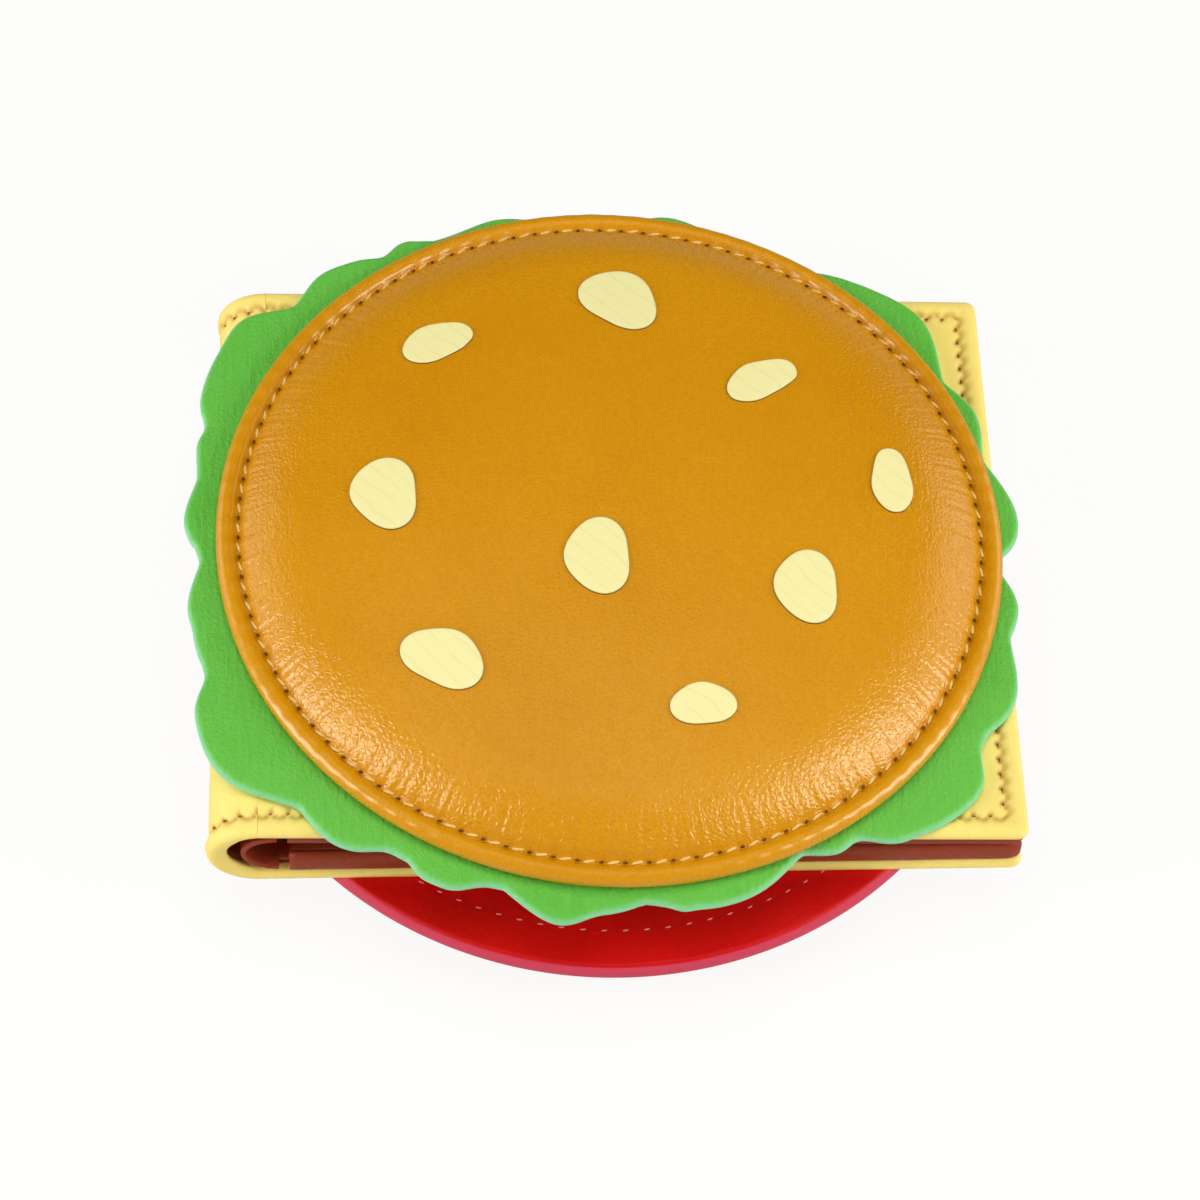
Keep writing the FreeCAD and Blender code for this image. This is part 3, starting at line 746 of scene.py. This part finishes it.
# Edge bindings: a strip of the same brown leather rolled over the near edge of each stack of sheets.
# They show as the thick soft brown edge between the two yellow covers.
BINDING_END = 2.4 * MM
BINDING_END_LINES_MM = (1.8, 1.2, 0.7, 0.35, 0.12, 0.0)
BINDING_SQUARENESS = 0.7
for half in ("back", "front"):
    body, place, _ = HALVES[half]
    low, high = local_box(f"{half}_binding", body)
    height = high[2] - low[2]
    depth = high[1] - low[1]
    middle = (low[2] + high[2]) / 2
    straight = np.linspace(low[0], high[0] - BINDING_END, 90)
    stations = np.concatenate([straight, high[0] - np.array(BINDING_END_LINES_MM) * MM])
    rings = []
    for station in stations:
        left = max(high[0] - station, 0.0)
        shrink = math.sqrt(max(0.0, 1 - max(0.0, 1 - left / BINDING_END) ** 2)) * 0.75 + 0.25
        swell = 1 + 0.03 * math.sin(station / (9 * MM)) + 0.02 * math.sin(station / (3.7 * MM) + 1)
        ring = []
        for turn in np.radians(np.linspace(90, 270, 19)):
            out = squared(math.cos(turn), BINDING_SQUARENESS) * depth * shrink
            rise = squared(math.sin(turn), BINDING_SQUARENESS) * height / 2
            ring.append((station, high[1] + out * swell, middle + rise * (0.5 + 0.5 * shrink)))
        ring.append((station, high[1], low[2] + height * 0.25))
        ring.append((station, high[1], low[2] + height * 0.75))
        rings.append(ring)
    points = np.array(rings).reshape(-1, 3)
    faces = ring_faces(len(rings), len(rings[0]))
    binding = add_piece(f"{half}_binding_leather", place(points), faces, lining_leather)
    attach(binding, body)
    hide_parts(f"{half}_binding")

# Pocket seams: brown thread, one row of lock stitches that holds each stack of sheets together.
# A row runs along the near edge and up the open edge, and steps down at the mouth of each pocket.
POCKET_SEAM = 2.2 * MM
POCKET_PITCH = 3.0 * MM
POCKET_THREAD = 0.42 * MM
MOUTH_STEP = 0.5 * MM
brown_thread = thread_finish("brown_thread", linear(120, 52, 34), linear(176, 104, 80))
# Its needle holes are painted shade, dark marks between the stitches.
brown_hole_shade = thread_finish("brown_needle_hole_shade", linear(40, 10, 4), linear(64, 22, 12))
pocket_boxes = [local_box(f"back_card_pocket_{n}", "back_half") for n in CARD_POCKETS]
_, wall_high = local_box("back_note_wall", "back_half")


def sew_pockets(name, low, high, near_up, wall, mouths, step, place):
    """A row along a stack's near edge at near_up, then up its open edge past the pockets' mouths.
    wall is the far end of the sheet under the pockets, and its upper face."""
    near = low[1] + POCKET_SEAM
    open_side = high[0] - POCKET_SEAM
    far_end, wall_up = wall
    line_points = [(x, near, near_up) for x in np.arange(low[0] + MM, open_side, MM)]
    for y in np.arange(near, far_end - MM, step):
        tops = [wall_up] + [mouth[2] for _, mouth in mouths if y <= mouth[1]]
        line_points.append((open_side, y, max(tops)))
    return sew(
        name, place(line_points), False, POCKET_PITCH, POCKET_THREAD, brown_thread, brown_hole_shade,
        slant_degrees=4.0, cover=0.6, gap=0.22,
    )


pocket_top = pocket_boxes[-1][1][2]
pocket_seam = sew_pockets(
    "card_pocket_seam", *pocket_boxes[0], pocket_top, wall_high[1:], pocket_boxes, MOUTH_STEP, on_back
)
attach(pocket_seam, "back_half")
slip_low, slip_high = local_box("front_slip_pocket", "front_half")
slip_seam = sew_pockets(
    "slip_pocket_seam", slip_low, slip_high, slip_low[2], (slip_high[1], slip_low[2]), [], MM, on_front
)
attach(slip_seam, "front_half")

# Spine: the yellow cover rolls round from one half to the other as a U, with its hem along both ends.
# Inside it are the brown lining and a loose loop of the note pocket's wall. Each is one bent sheet,
# made as a lower and an upper strip that meet at the middle.
SPINE_ROLL = 0.9 * MM
SPINE_STEP = 0.5 * MM
LINING_SHEET = 0.7 * MM
WALL_SHEET = 0.8 * MM
ROW_POINTS = 60
spine_low, spine_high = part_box("spine_cover")
lining_low, lining_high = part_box("spine_lining")
loop_low, loop_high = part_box("spine_note_wall")
spine_middle_z = (spine_low.z + spine_high.z) / 2


def rolled(points, flat_start, tip, half_height, lower):
    """Bend a sheet into half a U, and give its points and the U's length.
    The sheet is given as (share of the way round from the crease, across, out from its middle)."""
    around, across, out = np.moveaxis(np.asarray(points, float), -1, 0)
    quarter = np.linspace(0, math.pi / 2, 400)
    arm = flat_start - tip
    curve_x = flat_start - arm * np.sin(quarter)
    curve_z = -half_height * np.cos(quarter)
    lengths = np.concatenate([[0], np.cumsum(np.hypot(np.diff(curve_x), np.diff(curve_z)))])
    share = np.clip(around, 0, 1) * lengths[-1]
    turn = np.interp(share, lengths, quarter)
    normal_x, normal_z = -np.sin(turn) / arm, -np.cos(turn) / half_height
    size = np.hypot(normal_x, normal_z)
    x = np.interp(share, lengths, curve_x) + out * normal_x / size
    z = np.interp(share, lengths, curve_z) + out * normal_z / size
    if not lower:
        z = -z
    return np.stack([x, across, z + spine_middle_z], -1), lengths[-1]


def spine_strip(name, node, starts, tip, sheet, depth_box, material, hem):
    """The lower and the upper half of one bent sheet, each blended between its half and the spine.
    starts are the middles of the sheets it carries on from, at the back and front creases."""
    for lower, (flat_start, start_z) in zip((True, False), starts):
        half_height = abs(start_z - spine_middle_z)
        flat = rolled([(0.0, 0.0, 0.0)], flat_start, tip, half_height, lower)[1]
        low = np.array([0.0, depth_box[0], -sheet / 2])
        high = np.array([flat, depth_box[1], sheet / 2])
        drawn = {} if hem else {"full": 0.0, "scallop": 0.0, "groove": 0.0}
        points, faces, seam_shade = soft_sheet(low, high, sewn_open=False, step=SPINE_STEP, **drawn)
        points = points / np.array([flat, 1, 1])
        if hem:
            away = np.minimum(points[:, 1] - depth_box[0], depth_box[1] - points[:, 1])
            turned_in = np.exp(-((away - SPINE_ROLL) / SPINE_ROLL) ** 2)
            turned_in *= np.clip(2 * points[:, 0], 0, 1)
            points[:, 2] -= np.where(points[:, 2] < 0, SPINE_ROLL * turned_in, 0)
        points, _ = rolled(points, flat_start, tip, half_height, lower)
        part = "lower" if lower else "upper"
        # The spine's hem carries the same painted shade along its seams.
        shade = {"seam_shade": seam_shade} if hem else None
        piece = add_piece(f"{name}_{part}", points, faces, material, shade)
        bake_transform(piece)
        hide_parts(node)
        if hem:
            whole = math.floor(flat / CHEESE_PITCH)
            way = np.linspace(0.5, whole - 0.5, ROW_POINTS) * CHEESE_PITCH / flat
            out = np.full(ROW_POINTS, sheet / 2 - STITCH_SUNK)
            for end, across in (("near", depth_box[0] + HEM_INSET), ("far", depth_box[1] - HEM_INSET)):
                line_points = np.stack([way, np.full(ROW_POINTS, across), out], -1)
                line_points, _ = rolled(line_points, flat_start, tip, half_height, lower)
                row = sew_hem(f"{name}_{part}_{end}_seam", line_points)
                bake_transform(row)


def crease_starts(sheet_name):
    """Where a back sheet and a front sheet end at the creases: x and z of the middles of their edges."""
    starts = []
    for half, (body, place, _) in HALVES.items():
        low, high = local_box(f"{half}_{sheet_name}", body)
        edge = place([(low[0], 0.0, (low[2] + high[2]) / 2)])[0]
        starts.append((edge[0], edge[2]))
    return starts


spine_strip(
    "cheese_spine", "spine_cover", crease_starts("cover"), spine_low.x + COVER_SHEET / 2,
    COVER_SHEET, (spine_low.y, spine_high.y), cheese_leather, True,
)
spine_strip(
    "lining_spine", "spine_lining", crease_starts("lining"), lining_low.x + LINING_SHEET / 2,
    LINING_SHEET, (lining_low.y + 2 * SPINE_ROLL, lining_high.y - 2 * SPINE_ROLL), lining_leather,
    False,
)
spine_strip(
    "note_wall_loop", "spine_note_wall", crease_starts("note_wall"), loop_low.x + WALL_SHEET / 2,
    WALL_SHEET, (loop_low.y, loop_high.y), lining_leather, False,
)

# Lettuce leaf: thick green leather cut with a ruffled edge and laid on the front cover under the bun.
# Its rounded cut edge is pale edge paint with a painted highlight, and it waves a little where it hangs
# past the cover.
LEAF_EDGE = 1.0 * MM
LEAF_INNER = 44.0 * MM
AROUND_LEAF = 960
LEAF_TOP_RINGS = 16
LEAF_UNDER_RINGS = 8
HOLLOW_POWER = 0.66
PAINT_AND_HIGHLIGHT_FULL = 1.3
PAINT_AND_HIGHLIGHT_FADE_DEGREES = 52
HANG_RUN = 12 * MM
HANG_MOST = 1.2
LIFT_FAR = 0.2 * MM
DROOP_NEAR = 0.3 * MM
LEAF_WAVE = 0.3 * MM
# Fine lobes and notches of the cut edge: degrees round the leaf, outwards in mm, width in degrees.
LEAF_LOBES = (
    (59, -1.4, 4.5), (80, 0.9, 4.0), (104, 1.0, 5.0), (118.5, 1.3, 3.0), (122.5, -0.8, 2.0),
    (132, 0.8, 4.0), (143, 1.9, 4.0), (160.8, -1.2, 2.2), (193, -0.3, 2.0), (200.5, -0.5, 1.6),
    (204, 0.6, 2.5), (236, -1.1, 2.5), (242, 0.5, 2.0), (250, -0.9, 2.5), (266, -0.9, 3.0),
    (278, 0.4, 1.5), (305.3, -2.6, 3.0), (311, -0.6, 3.0), (327, -1.1, 2.5), (331, -0.3, 1.6),
    (357, -0.7, 3.0),
)
leaf_low, leaf_high = local_box("lettuce_leaf", "front_half")
leaf_middle = np.array([-front_axis.x, 0.0, 0.0])
leaf_local = local_points("lettuce_leaf", "front_half") - leaf_middle
leaf_way = np.arctan2(leaf_local[:, 1], leaf_local[:, 0])
leaf_reach = np.hypot(leaf_local[:, 0], leaf_local[:, 1])
order = np.argsort(leaf_way)
way = np.linspace(-math.pi, math.pi, AROUND_LEAF, endpoint=False)
leaf_edge = np.interp(way, leaf_way[order], leaf_reach[order], period=2 * math.pi)
leaf_half = (leaf_high[2] - leaf_low[2]) / 2
turns_back = np.flatnonzero(np.diff(np.sign(np.diff(leaf_edge, append=leaf_edge[0])), prepend=0))
for first, last in zip(turns_back, np.append(turns_back[1:], turns_back[0] + AROUND_LEAF)):
    run = np.arange(first, last + 1) % AROUND_LEAF
    hollow, crest = sorted((leaf_edge[run[0]], leaf_edge[run[-1]]))
    share = np.clip((leaf_edge[run[1:-1]] - hollow) / max(crest - hollow, 1e-9), 0, 1)
    leaf_edge[run[1:-1]] = hollow + (crest - hollow) * share ** HOLLOW_POWER
for degrees, outward, width in LEAF_LOBES:
    apart = np.degrees((way - math.radians(degrees) + math.pi) % (2 * math.pi) - math.pi)
    leaf_edge += outward * MM * np.exp(-(apart / width) ** 2)
leaf_flat = leaf_edge - LEAF_EDGE - LEAF_INNER
rings = []
for share in np.linspace(0, 1, LEAF_TOP_RINGS, endpoint=False):
    rings.append((LEAF_INNER + leaf_flat * share, leaf_half, 0.0))
# The cut edge's rings carry pale edge paint and a painted highlight, fullest midway up the edge.
for turn in np.radians(np.linspace(90, -90, 13)):
    painted = np.clip(PAINT_AND_HIGHLIGHT_FULL - abs(math.degrees(turn)) / PAINT_AND_HIGHLIGHT_FADE_DEGREES, 0, 1)
    rings.append((leaf_edge - LEAF_EDGE * (1 - math.cos(turn)), leaf_half * math.sin(turn), painted))
for share in np.linspace(1, 0, LEAF_UNDER_RINGS + 1)[1:]:
    rings.append((LEAF_INNER + leaf_flat * share, -leaf_half, 0.0))
leaf_points = []
(_, cover_near, _), (_, cover_far, _) = local_box("front_cover", "front_half")
for reach, up, _ in rings:
    x = reach * np.cos(way)
    y = reach * np.sin(way)
    past_near = np.clip((cover_near - y) / HANG_RUN, 0, HANG_MOST)
    past_far = np.clip((y - cover_far) / HANG_RUN, 0, HANG_MOST)
    droop = LIFT_FAR * past_far - DROOP_NEAR * past_near
    wave = LEAF_WAVE * np.maximum(past_near, past_far) * np.sin(9 * way + 0.7)
    leaf_points.append(np.stack([x, y, up + droop + wave], -1))
leaf_points = np.array(leaf_points).reshape(-1, 3)
leaf_points += leaf_middle + np.array([0, 0, (leaf_low[2] + leaf_high[2]) / 2])
# The pale edge colour is edge paint made paler still as a painted highlight along the cut edge.
lettuce_leather = leather(
    "lettuce_leather", linear(77, 175, 44), linear(121, 205, 86), grain_mm=0.9, grain_depth_mm=0.24,
    roughness=0.38, crease=0.9, pebbles=0.25, edge=("edge_paint_and_highlight", linear(146, 218, 164)), streak=0.16,
)
faces = ring_faces(len(rings), AROUND_LEAF, caps=False)
last = (len(rings) - 1) * AROUND_LEAF
faces += [
    (last + k, k, (k + 1) % AROUND_LEAF, last + (k + 1) % AROUND_LEAF) for k in range(AROUND_LEAF)
]
lettuce = add_piece(
    "lettuce", on_front(leaf_points), faces, lettuce_leather,
    {"edge_paint_and_highlight": np.repeat([painted for _, _, painted in rings], AROUND_LEAF)},
)
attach(lettuce, "front_half")
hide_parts("lettuce_leaf")

# Upper bun: the padded front of the wallet, golden leather drawn over foam and sewn round its rim.
# Its crown is low, its shoulder turns down steeply to the seam, and the leather puckers there.
CROWN_RISE = 3.2 * MM
UPPER_PUCKERS = 11
UPPER_STITCH_SUNK = 0.1 * MM
bun_low, bun_high = local_box("bun_top_skin", "front_half")
upper_radius = (bun_high[1] - bun_low[1]) / 2
upper_middle = (bun_low + bun_high) / 2
upper_height = bun_high[2] - bun_low[2]
points, rings, upper_seam, upper_seam_z, calm = bun_points(
    upper_radius, upper_height, CROWN_RISE, UPPER_PUCKERS
)
base = np.array([upper_middle[0], upper_middle[1], bun_low[2]])
upper_bun = add_piece(
    "upper_bun", on_front(points + base), ring_faces(rings, AROUND_BUN), bun_leather, {"calm": calm}
)
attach(upper_bun, "front_half")
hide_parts("bun_top_skin")
upper_line = circle_line(base, upper_seam, upper_seam_z - UPPER_STITCH_SUNK + base[2])
upper_bun_seam = sew(
    "upper_bun_seam", on_front(upper_line), True, BUN_STITCH, 0.48 * MM, bun_thread, needle_hole_shade,
    slant_degrees=14.0, cover=0.56, gap=0.22,
)
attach(upper_bun_seam, "front_half")

# Sesame seeds: flat cream leather shapes pressed onto the bun's crown, with a thin dark cut edge
# and faint strokes drawn on them.
SEED_LIFT = 0.3 * MM
SEED_ROUND = 96
SEED_APART = 2.5 * MM
STROKE_SHARPNESS = 14.0
STROKE_DEPTH = 0.4
# Rings of a seed, from its middle out and under: share of its outline, share of its lift, cut edge.
SEED_RINGS = [
    (0.1, 1.0, 0), (0.35, 1.0, 0), (0.6, 1.0, 0), (0.8, 1.0, 0), (0.9, 1.0, 0), (0.96, 0.97, 0),
    (0.98, 0.9, 0.15), (0.992, 0.75, 0.9), (1.0, 0.3, 1), (1.0, -0.4, 1), (0.6, -0.4, 0),
]
crown_edge = upper_seam - SHOULDER_RUN
seed_finish = Finish("seed_film")
strokes = seed_finish.node(
    "ShaderNodeTexWave", {"bands_direction": "DIAGONAL"},
    {"Vector": seed_finish.place, "Scale": 190.0, "Distortion": 5.0, "Detail": 2.0, "Detail Scale": 0.6},
    "Fac",
)
stroke_parts = seed_finish.noise(260.0, 2.0)
strokes = strokes ** STROKE_SHARPNESS * stroke_parts * STROKE_DEPTH
cream = seed_finish.mix(strokes, linear(247, 238, 168), linear(222, 208, 132))
cream = seed_finish.mix(seed_finish.attribute("outline"), cream, linear(120, 84, 22))
seed_film = seed_finish.surface(Base_Color=cream, Roughness=0.48 + 0.1 * stroke_parts)
remaining = np.unique(np.round(local_points("sesame_seeds", "front_half")[:, :2], 6), axis=0)
seed_points = []
seed_faces = []
outlines = []
while len(remaining):
    inside = np.zeros(len(remaining), bool)
    inside[0] = True
    grown = 0
    while grown != inside.sum():
        grown = inside.sum()
        apart = np.linalg.norm(remaining[:, None] - remaining[inside][None], axis=2)
        inside = (apart < SEED_APART).any(1)
    seed = remaining[inside]
    remaining = remaining[~inside]
    hull = seed[geometry.convex_hull_2d([tuple(p) for p in seed])]
    middle = (hull.min(0) + hull.max(0)) / 2
    ring = np.concatenate([hull, hull[:1]])
    lengths = np.concatenate([[0], np.cumsum(np.linalg.norm(np.diff(ring, axis=0), axis=1))])
    stops = np.linspace(0, lengths[-1], SEED_ROUND, endpoint=False)
    reach = np.stack([np.interp(stops, lengths, ring[:, axis]) for axis in (0, 1)], -1) - middle
    for _ in range(2):
        reach = 0.5 * reach + 0.25 * (np.roll(reach, 1, 0) + np.roll(reach, -1, 0))
    start = len(seed_points) * SEED_ROUND
    for share, lift, outline in SEED_RINGS:
        x, y = (middle + share * reach).T
        from_middle = np.hypot(x - base[0], y - base[1])
        skin = crown_height(from_middle, base[2] + upper_height, crown_edge, CROWN_RISE)
        seed_points.append(np.stack([x, y, skin + lift * SEED_LIFT], -1))
        outlines += [outline] * SEED_ROUND
    seed_faces += [tuple(start + k for k in face) for face in ring_faces(len(SEED_RINGS), SEED_ROUND)]
sesame = add_piece(
    "sesame", on_front(np.concatenate(seed_points)), seed_faces, seed_film, {"outline": outlines}
)
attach(sesame, "front_half")
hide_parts("sesame_seeds")

# Floor, light and camera of the photograph: a white ground that keeps the wallet's faint shadow and
# looks grey in reflections, a softbox and a panel on each side with a fill above and in front,
# and the photograph's own view in its frame of 1200 pixels.
FLOOR_SIZE = 6.0
FLOOR_GLOW = 0.9
FLOOR_COLOUR = (0.92, 0.92, 0.91)
FLOOR_SEEN = (1.0, 1.0, 0.99)
FLOOR_MIRRORED = (0.3, 0.3, 0.3)
WORLD_LIGHT = 0.05
LIGHTS_AIM = Vector((0, 0, 0.02))
SOFTBOX = {"place": (0.66, -0.20, 0.32), "size": (0.80, 0.24), "power": 3.75}
PANEL = {"place": (0.72, 0.34, 0.24), "size": (0.50, 0.40), "power": 0.9}
CEILING = {"place": (0.0, 0.05, 1.0), "size": (0.7, 0.7), "power": 4.55}
FRONT_FILL = {"place": (0.0, -0.85, 0.40), "size": (0.7, 0.7), "power": 1.4}
ELEVATION = math.radians(58.5)
AZIMUTH = math.radians(-5.11)
ROLL = math.radians(-3.69)
DISTANCE = 0.556
TARGET = Vector((0, 0.00096, 0.0165))
FOCAL_PIXELS = 3783.6
IMAGE_PIXELS = 1200
AXIS_PIXEL = (608.07, 572.98)
SENSOR_MM = 36.0
bpy.ops.mesh.primitive_plane_add(size=FLOOR_SIZE)
floor = bpy.context.object
floor.name = "floor"
floor_finish = Finish("white_ground")
seen = floor_finish.node("ShaderNodeLightPath", {}, {}, "Is Camera Ray")
mirrored = floor_finish.node("ShaderNodeLightPath", {}, {}, "Is Glossy Ray")
glow_colour = floor_finish.mix(seen, FLOOR_MIRRORED, FLOOR_SEEN)
glow = floor_finish.node("ShaderNodeEmission", {}, {"Color": glow_colour})
floor_finish.surface(Base_Color=FLOOR_COLOUR, Roughness=0.9)
ground = Wire(floor_finish, floor_finish.shader.outputs[0])
shown = floor_finish.node(
    "ShaderNodeMixShader", {}, {0: (seen + mirrored) * FLOOR_GLOW, 1: ground, 2: glow}
)
floor_finish.fill(floor_finish.tree.nodes["Material Output"].inputs["Surface"], shown)
floor.data.materials.append(floor_finish.material)

world = bpy.data.worlds.new("studio")
bpy.context.scene.world = world
world.use_nodes = True
background = world.node_tree.nodes["Background"]
background.inputs["Color"].default_value = (1.0, 1.0, 1.0, 1.0)
background.inputs["Strength"].default_value = WORLD_LIGHT


def soft_lamp(name, place, size, power, side=1):
    """A rectangular light aimed at the wallet, mirrored to the left where side is -1."""
    light = bpy.data.lights.new(name, "AREA")
    light.shape = "RECTANGLE"
    light.size, light.size_y = size
    light.energy = power
    lamp = bpy.data.objects.new(name, light)
    bpy.context.scene.collection.objects.link(lamp)
    lamp.location = Vector((side * place[0], place[1], place[2]))
    lamp.rotation_euler = (LIGHTS_AIM - lamp.location).to_track_quat("-Z", "Z").to_euler()
    return lamp


for name, side in (("left", -1), ("right", 1)):
    soft_lamp(f"{name}_softbox", **SOFTBOX, side=side)
    soft_lamp(f"{name}_panel", **PANEL, side=side)
for name, fill in (("ceiling", CEILING), ("front_fill", FRONT_FILL)):
    soft_lamp(name, **fill).visible_glossy = False

backwards = Vector((
    math.sin(AZIMUTH) * math.cos(ELEVATION), -math.cos(AZIMUTH) * math.cos(ELEVATION), math.sin(ELEVATION)
))
level = Vector((math.cos(AZIMUTH), math.sin(AZIMUTH), 0))
upward = backwards.cross(level)
right = level * math.cos(ROLL) - upward * math.sin(ROLL)
up = level * math.sin(ROLL) + upward * math.cos(ROLL)
camera_data = bpy.data.cameras.new("camera")
camera_data.sensor_width = SENSOR_MM
camera_data.lens = FOCAL_PIXELS / IMAGE_PIXELS * SENSOR_MM
camera_data.shift_x = (IMAGE_PIXELS / 2 - AXIS_PIXEL[0]) / IMAGE_PIXELS
camera_data.shift_y = (AXIS_PIXEL[1] - IMAGE_PIXELS / 2) / IMAGE_PIXELS
camera = bpy.data.objects.new("camera", camera_data)
bpy.context.scene.collection.objects.link(camera)
turn = Matrix((right, up, backwards)).transposed().to_4x4()
camera.matrix_world = Matrix.Translation(TARGET + backwards * DISTANCE) @ turn
bpy.context.scene.camera = camera
bpy.context.scene.view_settings.view_transform = "Standard"
